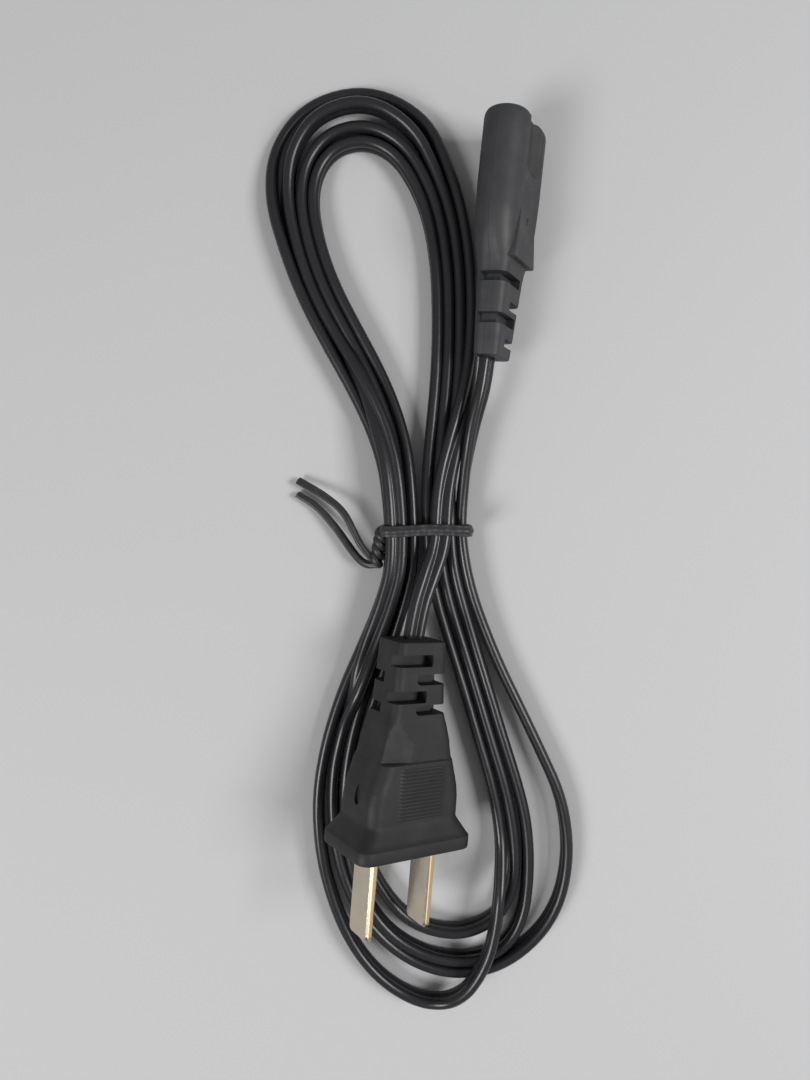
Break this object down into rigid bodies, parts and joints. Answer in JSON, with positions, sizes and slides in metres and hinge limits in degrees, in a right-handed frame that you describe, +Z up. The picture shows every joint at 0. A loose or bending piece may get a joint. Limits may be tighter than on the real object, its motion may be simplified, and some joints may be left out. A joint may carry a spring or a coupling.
{
  "type": "power cord",
  "caption": "Flat two-core mains lead folded into a tied hank, with a moulded flat-blade plug and a figure-eight appliance connector.",
  "frame": {"origin": "middle of the laid-out cord's bounding box, on the surface it lies on", "axes": "+Y along the hank from the plug end to the connector end, +Z up from the surface, +X to the right seen from above with +Y away from the viewer"},
  "size_m": [0.0576, 0.1768, 0.0244],
  "materials": {
    "plug_body": "fine matt moulding",
    "connector_body": "fine matt moulding",
    "cord_jacket": "smooth glossy extruded flex",
    "carrier": "hard moulded carrier",
    "blade_metal": "dull plated faces, bright brass edges",
    "contact_metal": "plain",
    "core_metal": "bare copper strands as one rod",
    "tie_plastic": "smooth plastic over wire"
  },
  "bodies": {
    "root": {"plug_overmould": "plug_body", "plug_insert": "carrier", "blade_left": "blade_metal", "blade_right": "blade_metal", "plug_core_left": "core_metal", "plug_core_right": "core_metal", "connector_overmould": "connector_body", "connector_insert": "carrier", "contact_upper": "contact_metal", "contact_lower": "contact_metal", "connector_core_upper": "core_metal", "connector_core_lower": "core_metal", "cord_hank": "cord_jacket", "plug_lead": "cord_jacket", "connector_lead": "cord_jacket", "twist_tie": "tie_plastic"}
  },
  "joints": []
}
